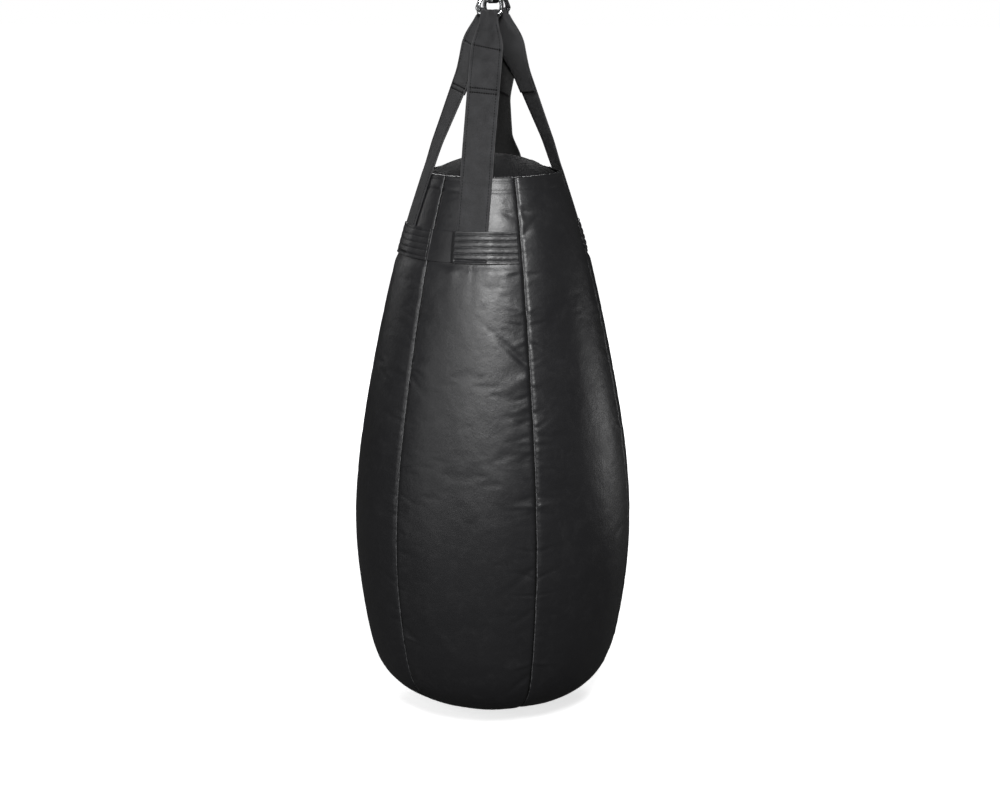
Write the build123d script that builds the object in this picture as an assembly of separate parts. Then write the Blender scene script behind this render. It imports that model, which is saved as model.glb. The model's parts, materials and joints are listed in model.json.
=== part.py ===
from build123d import *
import os
from math import atan2, cos, degrees, pi, radians, sin, sqrt

# Teardrop heavy punching bag that hangs on four webbing straps.
# Millimetres, +Z up. The origin is the centre of the hang eye's hole, and -Y is the front.
# Azimuth is counted in degrees from the front (-Y) towards the right (+X).

# ---------------------------------------------------------------- driving dimensions
RIM_Z = -440.0          # height of the bag's top edge
BAG_HEIGHT = 870.0      # top edge to lowest point
RIM_R = 109.0           # outer radius of the top edge
# depth below the top edge, outer radius
OUTLINE = [(0, RIM_R), (87, 138), (261, 181), (435, 213), (590, 224),
           (740, 208.5), (835, 170), (864, 110), (BAG_HEIGHT, 0)]
RIM_FLARE = 0.33        # how far the outline runs outwards for each step down at the rim
PANEL_COUNT = 6
PANEL_ANGLE = 360 / PANEL_COUNT
PANEL_NAMES = ["front", "right_front", "right_rear", "rear", "left_rear", "left_front"]
SKIN_T = 2.0            # coated fabric with its backing
PATCH_R = 60.0          # round patch under the bag
WELT_R = 1.6            # piping in each seam
SEAM_GAP = 3.6          # room between two panels for the piping
WELT_PROUD = 1.2        # how far the piping stands out of the skin

HEM_T = 1.8             # folded edge behind the panels' tops
HEM_DEPTH = 38.0
LINER_T = 1.0
LINER_TOP = 40.0        # how far below the rim the liner starts
FOAM_T = 9.0
LAYER_GAP = 0.3
FILL_TOP = 12.0         # how far below the rim the filling ends
POUCH_R = 60.0          # sand pouches in the middle of the filling
POUCH_H = 130.0
POUCH_PITCH = 150.0
POUCH_COUNT = 3
POUCH_TOP = 330.0       # depth of the highest pouch's top

CAP_T = 2.0             # fabric dome that closes the top
CAP_R = 104.0
CAP_EDGE = 6.0          # its edge lies this far below the rim
CAP_RISE = 27.0         # its crown stands this far above the rim
ZIP_R = 84.0            # curved zip on the rear half of the dome
ZIP_FROM, ZIP_TO = 130.0, 230.0
TAPE_W, TAPE_T = 11.0, 0.8
COIL_W, COIL_T = 2.0, 1.4
SLIDER_W, SLIDER_L, SLIDER_H = 9.0, 12.0, 4.2
PULL_W, PULL_L, PULL_T = 6.0, 24.0, 1.4
PULL_NECK = 5.5         # the pull's tab starts this far from its pivot, clear of the bridge
PULL_ARM_W, PULL_ARM_L = 1.2, 8.2
PULL_BAR_R = 0.7
PULL_HOLE_R = 1.6

STRAPS = {"front": 0.0, "left": -60.0, "right": 120.0, "rear": 180.0}
EARLY_TURN = 0.3        # share of a strap's twist spread evenly over its free run
LATE_TURN_FROM = 0.6    # the rest comes above this share of the run, near the ring
REAR_LEAN = -50.0       # the slack rear strap leans on edge between rim and ring
LEAN_FULL_AT = 0.25     # its lean grows up to this share of the run
LEAN_EASES_FROM, LEAN_EASES_OVER = 0.45, 0.3    # and is gone again by their sum
GATHER_FROM = 0.8       # the webbing narrows above this share of the run
STATIONS = 10           # cross-sections along a strap
REAR_STATIONS = 24      # the rear strap's lean needs more of them
STRAP_W = 50.0
STRAP_T = 3.0
LOOP_W = 27.0           # the webbing is gathered to this width in its ring
TAIL_L = 130.0          # doubled end sewn to the strap below the ring
TAIL_LAP = 0.05         # the sewn layers share this much
RIM_LAP = 0.03          # share of the run by which a strap overlaps its foot at the rim
BAND_TOP, BAND_BOTTOM = 80.0, 127.0
BAND_T = 1.5

RING_ROD_R = 3.0        # welded steel D-rings
RING_INNER_W = 30.0
RING_LEG = 12.0
RING_PITCH = 11.0       # spacing of the four rings along the hook's lower bar
HOOK_ROD_R = 5.0        # snap hook
HOOK_LENGTH = 100.0     # between the centrelines of its bow and its lower bar
HOOK_BOW_R = 13.0
HOOK_BAR_HALF = 22.0
HOOK_CORNER_R = 9.0
GATE_R = 4.6
GATE_PIN_R = 1.5
GATE_FORK_W = 4.0
GATE_LOW, GATE_HIGH = 15.0, 78.0      # pivot and free end, above the lower bar
GATE_HEEL = 3.0         # length of the gate below its pivot
SPRING_PITCH, SPRING_LENGTH, SPRING_R, SPRING_WIRE_R = 2.0, 18.0, 1.9, 0.4
SPRING_FROM = 11.0      # the spring starts this far up the gate
SPRING_BORE_R = 2.6
CONTACT_GAP = 0.3

EYE_HOLE_R = 9.0        # hang eye
EYE_OUTER_R = 17.0
EYE_T = 10.0
STEM_R = 6.0
NECK_R = 8.5            # shoulder between eye and housing
NECK_GAP = 0.4
HOUSING_R = 18.0
HOUSING_WALL = 3.0
HOUSING_TOP = -22.0
PLATE_T = 5.0
RACE_T = 3.0
RACE_R = 14.0
BALL_R = 2.5
BALL_PITCH_R = 10.4
BALL_COUNT = 10
NUT_FLATS = 18.0
NUT_T = 8.0
FIT = 0.1               # running clearance
LOWER_EYE_R = 14.0      # centreline radius of the swivel's lower eye
LOWER_EYE_ROD = 5.0


# ---------------------------------------------------------------- helpers
def direction(azimuth):
    """Horizontal unit vector that points outwards at an azimuth."""
    return Vector(sin(radians(azimuth)), -cos(radians(azimuth)), 0)


def tangent(azimuth):
    """Horizontal unit vector along the rim at an azimuth."""
    return Vector(cos(radians(azimuth)), sin(radians(azimuth)), 0)


def turned(shape, azimuth):
    """A shape made at the front, moved round to an azimuth."""
    return Rot(0, 0, azimuth) * shape


def outline_edge():
    """The skin's outer outline in the XZ plane, from the rim to the axis."""
    points = [(r, 0, RIM_Z - depth) for depth, r in OUTLINE]
    return Spline(*points, tangents=[(RIM_FLARE, 0, -1), (-1, 0, 0)])


OUTER = outline_edge()


def inset_edge(inset, steps=16):
    """The outline moved inwards along its own normal."""
    points = []
    for i in range(steps + 1):
        at = OUTER @ (i / steps)
        along = OUTER % (i / steps)
        if i == 0:
            points.append((at.X - inset, 0, at.Z))
        elif i == steps:
            points.append((0, 0, at.Z + inset))
        else:
            points.append((at.X + along.Z * inset, 0, at.Z - along.X * inset))
    return Spline(*points, tangents=[(RIM_FLARE, 0, -1), (-1, 0, 0)])


def skin(inset_out, inset_in):
    """A full turn of the wall between two insets."""
    outer = inset_edge(inset_out)
    inner = inset_edge(inset_in)
    rim = Line(outer @ 0, inner @ 0)
    foot = Line(outer @ 1, inner @ 1)
    return revolve(make_face(Wire([rim, outer, foot, inner])), Axis.Z)


def inside(inset):
    """Everything inside the outline at an inset."""
    edge = inset_edge(inset)
    top = Line((0, 0, RIM_Z), edge @ 0)
    axis = Line(edge @ 1, (0, 0, RIM_Z))
    return revolve(make_face(Wire([top, edge, axis])), Axis.Z)


def slab(top_depth, bottom_depth, half=400.0):
    """A wide block between two depths below the rim."""
    height = bottom_depth - top_depth
    middle = RIM_Z - (top_depth + bottom_depth) / 2
    return Pos(0, 0, middle) * Box(2 * half, 2 * half, height)


def wedge(azimuth, margin):
    """The space over one panel, kept clear of both seams by a margin."""
    reach = 400.0
    half = radians(PANEL_ANGLE / 2)
    apex = margin / sin(half)
    spread = (reach - apex) * sin(half) / cos(half)
    corners = [(0, -apex), (spread, -reach), (-spread, -reach)]
    prism = extrude(make_face(Polyline(*corners, close=True)), BAG_HEIGHT + 40)
    return turned(Pos(0, 0, RIM_Z - BAG_HEIGHT - 20) * prism, azimuth)


def dome_z(r):
    """Height of the cap's outer surface at a radius."""
    rise = CAP_RISE + CAP_EDGE
    ball = (CAP_R ** 2 + rise ** 2) / (2 * rise)
    return RIM_Z + CAP_RISE - ball + sqrt(ball ** 2 - r ** 2)


def dome_slope(r):
    """Downward slope of the cap in degrees at a radius."""
    step = 0.5
    return degrees(atan2(dome_z(r - step) - dome_z(r + step), 2 * step))


def arc_strip(r, width, thick, lift, start, end):
    """A strip that follows the zip's curve on the dome."""
    at = Plane(origin=(r, 0, dome_z(r)), x_dir=(1, 0, 0), z_dir=(0, -1, 0))
    section = at * (Rot(0, 0, -dome_slope(r)) * (Pos(0, lift) * Rectangle(width, thick)))
    strip = revolve(section, Axis.Z, revolution_arc=end - start)
    return Rot(0, 0, start - 90) * strip


# ---------------------------------------------------------------- swivel
def hang_eye():
    eye = Rot(90, 0, 0) * Cylinder(EYE_OUTER_R, EYE_T)
    eye = fillet(eye.edges().filter_by(GeomType.CIRCLE), 3)
    collar_top = -EYE_OUTER_R + 3
    collar = Pos(0, 0, (collar_top + HOUSING_TOP + NECK_GAP) / 2)
    neck = collar * Cylinder(NECK_R, collar_top - HOUSING_TOP - NECK_GAP)
    stem_end = NUT_TOP - NUT_T - 2
    stem = Pos(0, 0, (-EYE_OUTER_R + 2 + stem_end) / 2)
    stem *= Cylinder(STEM_R, -EYE_OUTER_R + 2 - stem_end)
    hole = Rot(90, 0, 0) * Cylinder(EYE_HOLE_R, EYE_T + 2)
    return eye + neck + stem - hole


UPPER_RACE_TOP = HOUSING_TOP - PLATE_T - 0.05
BALL_Z = UPPER_RACE_TOP - RACE_T - BALL_R + 1.0
LOWER_RACE_TOP = 2 * BALL_Z - (UPPER_RACE_TOP - RACE_T)
NUT_TOP = LOWER_RACE_TOP - RACE_T - 0.05
CUP_FLOOR = NUT_TOP - NUT_T - 4
CAP_PLUG = 4.0
CAP_FLANGE = 5.0
LOWER_EYE_Z = CUP_FLOOR - CAP_PLUG - CAP_FLANGE - LOWER_EYE_R - 3.0


def swivel_housing():
    height = HOUSING_TOP - CUP_FLOOR + CAP_PLUG
    cup = Pos(0, 0, HOUSING_TOP - height / 2) * Cylinder(HOUSING_R, height)
    cup = fillet(cup.edges().group_by(Axis.Z)[-1], 3)
    hollow = HOUSING_TOP - PLATE_T
    depth = height - PLATE_T
    cup -= Pos(0, 0, hollow - depth / 2) * Cylinder(HOUSING_R - HOUSING_WALL, depth)
    return cup - Pos(0, 0, HOUSING_TOP) * Cylinder(STEM_R + FIT, 20)


def swivel_lower_eye():
    plug_r = HOUSING_R - HOUSING_WALL - 0.05
    plug = Pos(0, 0, CUP_FLOOR - CAP_PLUG / 2) * Cylinder(plug_r, CAP_PLUG)
    flange_top = CUP_FLOOR - CAP_PLUG
    flange = Pos(0, 0, flange_top - CAP_FLANGE / 2) * Cylinder(HOUSING_R, CAP_FLANGE)
    flange = fillet(flange.edges().group_by(Axis.Z)[0], 2)
    ring = Pos(0, 0, LOWER_EYE_Z) * Rot(90, 0, 0) * Torus(LOWER_EYE_R, LOWER_EYE_ROD)
    return plug + flange + ring


def race(top, groove_z):
    ring = Pos(0, 0, top - RACE_T / 2) * (
        Cylinder(RACE_R, RACE_T) - Cylinder(STEM_R + FIT, RACE_T)
    )
    return ring - Pos(0, 0, groove_z) * Torus(BALL_PITCH_R, BALL_R + 0.05)


def bearing_balls():
    step = 360 / BALL_COUNT
    at = Pos(BALL_PITCH_R, 0, BALL_Z)
    balls = [Rot(0, 0, i * step) * at * Sphere(BALL_R) for i in range(BALL_COUNT)]
    return Compound(children=balls)


def ball_cage():
    step = 360 / BALL_COUNT
    cage = Cylinder(RACE_R - 0.8, 1.4) - Cylinder(STEM_R + 1.2, 1.4)
    for i in range(BALL_COUNT):
        cage -= Rot(0, 0, i * step) * Pos(BALL_PITCH_R, 0, 0) * Cylinder(BALL_R + FIT, 3)
    return Pos(0, 0, BALL_Z) * cage


def swivel_nut():
    body = extrude(RegularPolygon(NUT_FLATS / 2, 6, major_radius=False), NUT_T)
    nut = Pos(0, 0, NUT_TOP - NUT_T) * body
    return nut - Pos(0, 0, NUT_TOP - NUT_T / 2) * Cylinder(STEM_R + 0.02, NUT_T + 2)


# ---------------------------------------------------------------- snap hook
BOW_Z = LOWER_EYE_Z - LOWER_EYE_R + LOWER_EYE_ROD + HOOK_ROD_R + CONTACT_GAP - HOOK_BOW_R
BAR_Z = BOW_Z + HOOK_BOW_R - HOOK_LENGTH
SIDE_Y = HOOK_BAR_HALF + HOOK_CORNER_R


def side_line():
    """Foot and head of the hook's straight side, as (y, z), tangent to corner and bow."""
    foot = Vector(HOOK_BAR_HALF, BAR_Z + HOOK_CORNER_R)
    head = Vector(0, BOW_Z)
    across = head - foot
    lean = atan2(-across.X, across.Y)
    turn = lean + (HOOK_BOW_R - HOOK_CORNER_R) / across.length
    normal = Vector(cos(turn), sin(turn))
    return foot + normal * HOOK_CORNER_R, head + normal * HOOK_BOW_R, normal


SIDE_FOOT, SIDE_HEAD, SIDE_NORMAL = side_line()


def on_side(height):
    """Point on the +Y side's centreline at a height above the lower bar."""
    share = (BAR_Z + height - SIDE_FOOT.Y) / (SIDE_HEAD.Y - SIDE_FOOT.Y)
    return SIDE_FOOT + (SIDE_HEAD - SIDE_FOOT) * share


def hook_path():
    """Closed centreline of the hook in the YZ plane."""
    foot = (0, SIDE_FOOT.X, SIDE_FOOT.Y)
    head = (0, SIDE_HEAD.X, SIDE_HEAD.Y)
    foot_l = (0, -SIDE_FOOT.X, SIDE_FOOT.Y)
    head_l = (0, -SIDE_HEAD.X, SIDE_HEAD.Y)
    bar_r = (0, HOOK_BAR_HALF, BAR_Z)
    bar_l = (0, -HOOK_BAR_HALF, BAR_Z)
    corner = Vector(0, 1, -0.9).normalized() * HOOK_CORNER_R
    mid_r = Vector(0, HOOK_BAR_HALF, BAR_Z + HOOK_CORNER_R) + corner
    mid_l = Vector(0, -mid_r.Y, mid_r.Z)
    return Wire([
        Line(bar_l, bar_r),
        ThreePointArc(bar_r, mid_r, foot),
        Line(foot, head),
        ThreePointArc(head, (0, 0, BOW_Z + HOOK_BOW_R), head_l),
        Line(head_l, foot_l),
        ThreePointArc(foot_l, mid_l, bar_l),
    ])


def gate_frame():
    """Plane at the gate's pivot: its X runs up the gate and its Y points out of the hook."""
    pivot = on_side(GATE_LOW)
    up = SIDE_HEAD - SIDE_FOOT
    return Plane(origin=(0, pivot.X, pivot.Y), x_dir=(0, up.X, up.Y), z_dir=(-1, 0, 0))


GATE = gate_frame()
GATE_LENGTH = (on_side(GATE_HIGH) - on_side(GATE_LOW)).length


def gate_rod(start, end, radius):
    """A round bar along the gate between two distances from the pivot."""
    bar = Pos((start + end) / 2, 0, 0) * Rot(0, 90, 0) * Cylinder(radius, end - start)
    return GATE * bar


def hook_body():
    profile = Plane(origin=(0, 0, BAR_Z), x_dir=(1, 0, 0), z_dir=(0, 1, 0)) * Circle(HOOK_ROD_R)
    rod = sweep(profile, path=hook_path())
    opening = gate_rod(-5.0, GATE_LENGTH + 0.6, HOOK_ROD_R + 2)
    tongue = GATE * Pos(-2.5, 0, 0) * Box(10, 2 * GATE_R - 1.2, GATE_FORK_W - 0.4)
    tongue += GATE * Cylinder(GATE_R - 0.6, GATE_FORK_W - 0.4)
    body = (rod - opening) + tongue
    return body - GATE * Cylinder(GATE_PIN_R + 0.02, 30)


def hook_gate():
    gate = gate_rod(-GATE_HEEL, GATE_LENGTH, GATE_R)
    gate -= GATE * Pos(-1.0, 0, 0) * Box(14, 12, GATE_FORK_W)
    gate -= GATE * Cylinder(GATE_PIN_R + FIT, 30)
    bore_top = SPRING_FROM + SPRING_LENGTH + 3
    return gate - gate_rod(SPRING_FROM - 2, bore_top, SPRING_BORE_R)


def gate_pin():
    return GATE * Cylinder(GATE_PIN_R, 2 * GATE_R - 0.6)


def gate_spring():
    coil = Helix(pitch=SPRING_PITCH, height=SPRING_LENGTH, radius=SPRING_R)
    wire = Plane(origin=coil @ 0, z_dir=coil % 0) * Circle(SPRING_WIRE_R)
    spring = sweep(wire, path=coil, is_frenet=True)
    return GATE * Pos(SPRING_FROM, 0, 0) * Rot(0, 90, 0) * spring


# ---------------------------------------------------------------- straps and rings
RING_HALF = RING_INNER_W / 2 + RING_ROD_R
RING_HEIGHT = RING_LEG + RING_HALF
RING_SEAT = HOOK_ROD_R + RING_ROD_R + CONTACT_GAP     # bar centre to ring centre
RING_Y = {"front": -1.5, "left": -0.5, "right": 0.5, "rear": 1.5}


def rim_point(name):
    """Where the strap's middle leaves the rim."""
    out = direction(STRAPS[name]) * (RIM_R + LAYER_GAP + STRAP_T / 2)
    return Vector(out.X, out.Y, RIM_Z)


def ring_plane(name):
    """Plane of a D-ring: origin in its straight bar, X along the bar, Y up to its top."""
    seat = Vector(0, RING_Y[name] * RING_PITCH, BAR_Z)
    up = (seat - rim_point(name)).normalized()
    across = Vector(0, 1, 0).cross(up).normalized()
    square = sqrt(1 - up.Y ** 2)        # the ring leans along the hook's bar
    bar = seat - up * (RING_HEIGHT - RING_SEAT / square)
    return Plane(origin=bar, x_dir=across, z_dir=across.cross(up))


def strap_ring(name):
    corner = 4.5
    high_l, high_r = (-RING_HALF, RING_LEG), (RING_HALF, RING_LEG)
    foot = FilletPolyline(high_l, (-RING_HALF, 0), (RING_HALF, 0), high_r, radius=corner)
    path = Wire([*foot.edges(), ThreePointArc(high_r, (0, RING_HEIGHT), high_l)])
    section = Plane(origin=(*high_l, 0), z_dir=(0, -1, 0)) * Circle(RING_ROD_R)
    return ring_plane(name) * sweep(section, path=path)


def lay(name):
    """How the webbing runs: start, direction, width direction at the rim, turn and outer side."""
    plane = ring_plane(name)
    base = rim_point(name)
    along = (plane.origin - base).normalized()
    first = tangent(STRAPS[name])
    first = (first - along * first.dot(along)).normalized()
    side = along.cross(first)
    turn = atan2(plane.x_dir.dot(side), plane.x_dir.dot(first))
    turn = (turn + pi / 2) % pi - pi / 2
    outer = 1 if first.cross(along).dot(direction(STRAPS[name])) > 0 else -1
    return base, plane.origin - base, first, side, turn, outer


def ease(x):
    x = min(max(x, 0.0), 1.0)
    return x * x * (3 - 2 * x)


def twist(name, share, turn):
    """Angle of the webbing about its own line at a share of its free run."""
    late = ease((share - LATE_TURN_FROM) / (1 - LATE_TURN_FROM))
    angle = turn * (EARLY_TURN * max(share, 0.0) + (1 - EARLY_TURN) * late)
    if name == "rear":
        eased = ease((share - LEAN_EASES_FROM) / LEAN_EASES_OVER)
        angle += radians(REAR_LEAN) * ease(share / LEAN_FULL_AT) * (1 - eased)
    return angle


def ribbon(name, shares, lifts):
    """Webbing through stations between the rim (0) and its ring (1), each with a lift."""
    base, run, first, side, turn, outer = lay(name)
    along = run.normalized()
    sections = []
    for share, lift in zip(shares, lifts):
        angle = twist(name, share, turn)
        across = first * cos(angle) + side * sin(angle)
        gathered = max(0.0, (share - GATHER_FROM) / (1 - GATHER_FROM))
        width = STRAP_W + (LOOP_W - STRAP_W) * gathered
        at = base + run * share + across.cross(along) * outer * lift
        plane = Plane(origin=at, x_dir=across, z_dir=along)
        sections.append(plane * Rectangle(width, STRAP_T))
    return loft(sections, ruled=True)


LOOP_R = RING_ROD_R + 0.6


def strap_loop(name):
    """The fold that runs over the ring's straight bar."""
    half = Circle(LOOP_R + STRAP_T) - Circle(LOOP_R)
    half &= Pos(0, 20) * Rectangle(60, 40)
    ring = ring_plane(name)
    across = Plane(origin=ring.origin, x_dir=ring.z_dir * -1, z_dir=ring.x_dir)
    return across * extrude(half, LOOP_W / 2, both=True)


def corridor(width, azimuth):
    """A radial corridor of constant width over one panel."""
    box = Pos(0, -200, RIM_Z - 200) * Box(width, 400, 800)
    return turned(box, azimuth)


def strap(name):
    reach = LOOP_R + STRAP_T / 2
    steps = REAR_STATIONS if name == "rear" else STATIONS
    shares = [-RIM_LAP] + [i / steps for i in range(steps + 1)]
    main = ribbon(name, shares, [reach * max(share, 0) for share in shares])
    length = lay(name)[1].length
    tail_share = 1 - TAIL_L / length
    joined = [tail_share + (GATHER_FROM - tail_share) * i / 4 for i in range(5)]
    tail = ribbon(name, joined, [reach * share - STRAP_T + TAIL_LAP for share in joined])
    parting = [GATHER_FROM, (1 + GATHER_FROM) / 2, 1.0]
    drop = GATHER_FROM * reach - STRAP_T + TAIL_LAP
    eye = ribbon(name, parting, [drop, (drop - reach) / 2, -reach])
    cover = skin(-LAYER_GAP - STRAP_T, -LAYER_GAP)
    foot = cover & slab(0, BAND_BOTTOM) & corridor(STRAP_W, STRAPS[name])
    return foot + main + tail + eye + strap_loop(name)


def strap_band(name):
    """Stitched patch over the strap's end, with a raised pocket for it."""
    azimuth = STRAPS[name]
    pocket = LAYER_GAP + STRAP_T + 0.2
    flat = skin(-0.1 - BAND_T, -0.1)
    raised = skin(-pocket - BAND_T, -0.1) & corridor(STRAP_W + 4, azimuth)
    room = skin(-pocket, 0) & corridor(STRAP_W + 1, azimuth)
    panel = slab(BAND_TOP, BAND_BOTTOM) & wedge(azimuth, SEAM_GAP / 2 + 1.5)
    return ((flat + raised) - room) & panel


# ---------------------------------------------------------------- cover
def patch_core(r):
    """The column under the bag that holds the round patch."""
    return Pos(0, 0, RIM_Z - BAG_HEIGHT) * Cylinder(r, 100)


SKIN = skin(0, SKIN_T)


def panel(azimuth):
    return (SKIN & wedge(azimuth, SEAM_GAP / 2)) - patch_core(PATCH_R)


def seam_welts():
    """Piping in every seam, from the rim to the patch."""
    edge = inset_edge(WELT_R - WELT_PROUD)
    section = Plane(origin=edge @ 0, z_dir=edge % 0) * Circle(WELT_R)
    cord = sweep(section, path=edge)
    cord = (cord & slab(0, BAG_HEIGHT + 10)) - patch_core(PATCH_R + 1)
    first_seam = PANEL_ANGLE / 2 - 90
    cords = [Rot(0, 0, first_seam + i * PANEL_ANGLE) * cord for i in range(PANEL_COUNT)]
    return Compound(children=cords)


def bottom_patch():
    return SKIN & patch_core(PATCH_R - 0.3)


def rim_hem():
    inset = SKIN_T + 0.1
    return skin(inset, inset + HEM_T) & slab(0, HEM_DEPTH)


# ---------------------------------------------------------------- closure
def dome_profile(r, top, edge):
    return ThreePointArc((-r, 0, RIM_Z + edge), (0, 0, RIM_Z + top), (r, 0, RIM_Z + edge))


def dome(top, edge, floor):
    """A solid cap: a shallow crown over a flat floor."""
    crown = dome_profile(CAP_R, top, edge)
    half = make_face(Wire([crown, Line(crown @ 1, (CAP_R, 0, RIM_Z + floor)),
                           Line((CAP_R, 0, RIM_Z + floor), (-CAP_R, 0, RIM_Z + floor)),
                           Line((-CAP_R, 0, RIM_Z + floor), crown @ 0)]))
    right = half & (Plane.XZ * (Pos(100, RIM_Z) * Rectangle(200, 400)))
    return revolve(right, Axis.Z)


def top_cap():
    outer = dome(CAP_RISE, -CAP_EDGE, -CAP_EDGE - CAP_T)
    inner = dome(CAP_RISE - CAP_T, -CAP_EDGE - CAP_T, -CAP_EDGE - CAP_T - 1)
    slot = arc_strip(ZIP_R, 2 * COIL_W + 1.2, 12, -3, ZIP_FROM - 1, ZIP_TO + 1)
    return outer - inner - slot


def top_pad():
    top = CAP_RISE - CAP_T - LAYER_GAP
    return dome(top, -CAP_EDGE - CAP_T - LAYER_GAP, -FILL_TOP + LAYER_GAP)


def zip_tapes():
    offset = COIL_W + 0.2 + TAPE_W / 2
    lift = TAPE_T / 2 + 0.15
    strips = [arc_strip(ZIP_R + side * offset, TAPE_W, TAPE_T, lift, ZIP_FROM, ZIP_TO)
              for side in (-1, 1)]
    return Compound(children=strips)


def zip_coils():
    offset = COIL_W / 2 + 0.05
    strips = [arc_strip(ZIP_R + side * offset, COIL_W, COIL_T, 0.6, ZIP_FROM, ZIP_TO)
              for side in (-1, 1)]
    return Compound(children=strips)


# slider and pull sit half way along the zip and share one local frame:
# X runs outwards across the zip, Y along it and Z away from the dome
SLIDER_AZIMUTH = (ZIP_FROM + ZIP_TO) / 2
SLIDER_LIFT = 1.6


def on_zip(shape):
    at = Plane(origin=(ZIP_R, 0, dome_z(ZIP_R)), x_dir=(1, 0, 0), z_dir=(0, -1, 0))
    lean = Rot(0, dome_slope(ZIP_R), 0)
    placed = Pos(at.origin) * (lean * shape)
    return Rot(0, 0, SLIDER_AZIMUTH - 90) * placed


def zip_slider():
    plate = Pos(0, 0, SLIDER_LIFT + 0.8) * Box(SLIDER_W, SLIDER_L, 1.6)
    plate = fillet(plate.edges().filter_by(Axis.Z), 2.5)
    for side in (-1, 1):
        plate += Pos(side * (SLIDER_W / 2 - 0.5), 0, SLIDER_LIFT + 0.3) * Box(1, SLIDER_L - 6, 1)
    bridge = Pos(0, 0, SLIDER_LIFT + 2.6) * Box(2.4, SLIDER_L - 3, SLIDER_H)
    bridge -= Pos(0, 0, SLIDER_LIFT + 2.9) * Box(4, SLIDER_L - 6, 2.6)
    return on_zip(plate + bridge)


PULL_PIVOT = Vector(0, 0, SLIDER_LIFT + 2.9)


def zip_pull():
    """A flat tab whose end bar runs through the slider's bridge."""
    tab = Pos(0, PULL_L / 2 + PULL_NECK, 0) * Box(PULL_W, PULL_L, PULL_T)
    tab = fillet(tab.edges().filter_by(Axis.Z), 2)
    for side in (-1, 1):
        arm = Pos(side * (PULL_W - PULL_ARM_W) / 2, PULL_ARM_L / 2 - PULL_BAR_R + 0.1, 0)
        tab += arm * Box(PULL_ARM_W, PULL_ARM_L, PULL_T)
    tab += Rot(0, 90, 0) * Cylinder(PULL_BAR_R, PULL_W)
    tab -= Pos(0, PULL_L + 1.0, 0) * Cylinder(PULL_HOLE_R, 4)
    return on_zip(Pos(PULL_PIVOT) * tab)


# ---------------------------------------------------------------- inside
def inner_liner():
    inset = SKIN_T + 0.15
    return skin(inset, inset + LINER_T) & slab(LINER_TOP, BAG_HEIGHT)


FOAM_INSET = SKIN_T + HEM_T + 0.4


def foam_layer():
    return skin(FOAM_INSET, FOAM_INSET + FOAM_T) & slab(FILL_TOP, BAG_HEIGHT)


def pouches(r, extra):
    columns = []
    for i in range(POUCH_COUNT):
        middle = RIM_Z - POUCH_TOP - POUCH_H / 2 - i * POUCH_PITCH
        columns.append(Pos(0, 0, middle) * Cylinder(r, POUCH_H + extra))
    return columns


def sand_pouches():
    rounded = [fillet(c.edges(), 15) for c in pouches(POUCH_R, 0)]
    return Compound(children=rounded)


def textile_fill():
    inset = FOAM_INSET + FOAM_T + LAYER_GAP
    fill = inside(inset) & slab(FILL_TOP, BAG_HEIGHT)
    for column in pouches(POUCH_R + LAYER_GAP, 2 * LAYER_GAP):
        fill -= column
    return fill


# ---------------------------------------------------------------- write the parts
def build():
    parts = {
        "hang_eye": hang_eye(),
        "swivel_housing": swivel_housing(),
        "swivel_lower_eye": swivel_lower_eye(),
        "bearing_race_upper": race(UPPER_RACE_TOP, BALL_Z),
        "bearing_race_lower": race(LOWER_RACE_TOP, BALL_Z),
        "bearing_balls": bearing_balls(),
        "ball_cage": ball_cage(),
        "swivel_nut": swivel_nut(),
        "hook_body": hook_body(),
        "hook_gate": hook_gate(),
        "gate_pin": gate_pin(),
        "gate_spring": gate_spring(),
        "seam_welts": seam_welts(),
        "bottom_patch": bottom_patch(),
        "rim_hem": rim_hem(),
        "top_cap": top_cap(),
        "top_pad": top_pad(),
        "zip_tapes": zip_tapes(),
        "zip_coils": zip_coils(),
        "zip_slider": zip_slider(),
        "zip_pull": zip_pull(),
        "inner_liner": inner_liner(),
        "foam_layer": foam_layer(),
        "sand_pouches": sand_pouches(),
        "textile_fill": textile_fill(),
    }
    for i, name in enumerate(PANEL_NAMES):
        parts["panel_" + name] = panel(i * PANEL_ANGLE)
    for name in STRAPS:
        parts["strap_" + name] = strap(name)
        parts["band_" + name] = strap_band(name)
        parts["ring_" + name] = strap_ring(name)
    return parts


os.makedirs("parts", exist_ok=True)
for node, shape in build().items():
    export_step(shape, f"parts/{node}.step")
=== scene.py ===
# Teardrop heavy bag: the looks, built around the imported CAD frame. Metres, +Z up, -Y is the front.
# Azimuth is counted in radians from the front (-Y) towards the right (+X).
import json
import math

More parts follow.
